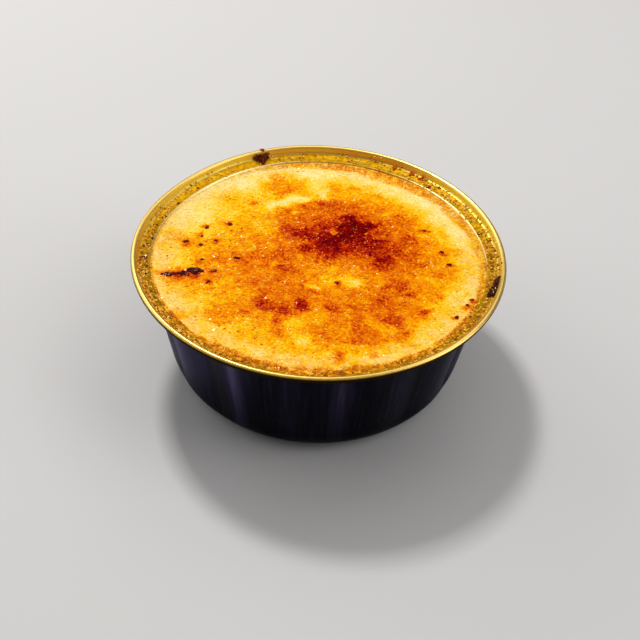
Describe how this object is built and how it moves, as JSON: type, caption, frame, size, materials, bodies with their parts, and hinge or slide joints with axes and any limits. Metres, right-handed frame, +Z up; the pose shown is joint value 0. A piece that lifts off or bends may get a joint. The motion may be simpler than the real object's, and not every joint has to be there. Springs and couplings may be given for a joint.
{
  "type": "creme brulee in a foil cup",
  "caption": "Baked custard dessert with a torched sugar crust, filling a round fluted foil cup with a rolled rim.",
  "frame": {"origin": "middle of the cup's flat base, on the surface it stands on", "axes": "+Z up out of the open top; -Y is the front, +X the right side seen from the front"},
  "size_m": [0.0881, 0.0882, 0.0335],
  "materials": {
    "foil_lacquer": "thin pressed aluminium, gold lacquer inside and over the rolled rim, near-black blue lacquer outside, glossy",
    "torched_custard": "baked cream custard under a torched sugar crust, from pale cream through orange to dark caramel, grainy and glossy; matte plastic stands in for food"
  },
  "bodies": {
    "root": {"foil_cup": "foil_lacquer", "custard": "torched_custard"}
  },
  "joints": []
}
